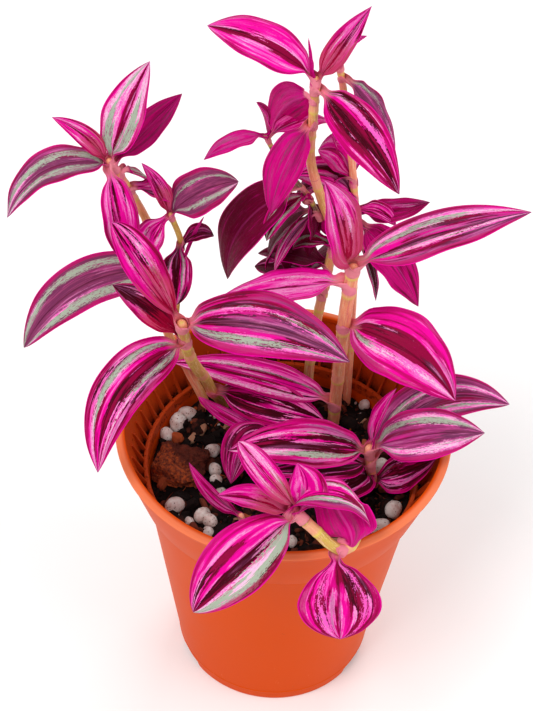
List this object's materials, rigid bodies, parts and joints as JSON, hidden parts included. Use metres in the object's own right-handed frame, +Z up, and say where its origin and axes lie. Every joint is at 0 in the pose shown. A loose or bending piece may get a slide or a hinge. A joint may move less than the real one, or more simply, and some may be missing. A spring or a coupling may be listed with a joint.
{
  "type": "potted house plant",
  "caption": "Young trailing house plant with striped pointed leaves on jointed upright stems, rooted in loose mix in a tapered round pot with a deep collar.",
  "frame": {"origin": "centre of the pot's underside, on the surface it stands on", "axes": "+Z up, -Y towards the front, +X to the right as seen from the front"},
  "size_m": [0.1725, 0.1464, 0.2861],
  "materials": {
    "pot": "satin moulded plastic, terracotta orange",
    "potting_mix": "crumbly bark and fibre mix, damp and dark",
    "bark": "rough rust-brown bark",
    "stem": "smooth jointed plant stem, peach to yellow green",
    "leaf": "satin leaf, striped magenta, plum and silver green"
  },
  "bodies": {
    "root": {"pot": "pot", "potting_mix": "potting_mix", "bark_chunk": "bark", "right_stem": "stem", "tall_stem": "stem", "back_stem": "stem", "left_stem": "stem", "side_stem": "stem", "twig_stem": "stem", "middle_stem": "stem", "low_stem": "stem", "rim_stem": "stem", "young_stem": "stem", "shoot_stem": "stem", "right_leaf_1": "leaf", "right_leaf_2": "leaf", "right_leaf_3": "leaf", "right_leaf_4": "leaf", "right_leaf_5": "leaf", "middle_leaf_1": "leaf", "middle_leaf_2": "leaf", "middle_leaf_3": "leaf", "middle_leaf_4": "leaf", "middle_leaf_5": "leaf", "left_leaf_1": "leaf", "left_leaf_2": "leaf", "left_leaf_3": "leaf", "left_leaf_4": "leaf", "left_leaf_5": "leaf", "left_leaf_6": "leaf", "side_leaf_1": "leaf", "side_leaf_2": "leaf", "side_leaf_3": "leaf", "twig_leaf_1": "leaf", "twig_leaf_2": "leaf", "twig_leaf_3": "leaf", "twig_leaf_4": "leaf", "tall_leaf_1": "leaf", "tall_leaf_2": "leaf", "tall_leaf_3": "leaf", "tall_leaf_4": "leaf", "tall_leaf_5": "leaf", "back_leaf_1": "leaf", "back_leaf_2": "leaf", "back_leaf_3": "leaf", "back_leaf_4": "leaf", "low_leaf_1": "leaf", "low_leaf_2": "leaf", "low_leaf_3": "leaf", "low_leaf_4": "leaf", "low_leaf_5": "leaf", "low_leaf_6": "leaf", "rim_leaf_1": "leaf", "rim_leaf_2": "leaf", "rim_leaf_3": "leaf", "rim_leaf_4": "leaf", "rim_leaf_5": "leaf", "rim_leaf_6": "leaf", "young_leaf_1": "leaf", "shoot_leaf_1": "leaf"}
  },
  "joints": []
}
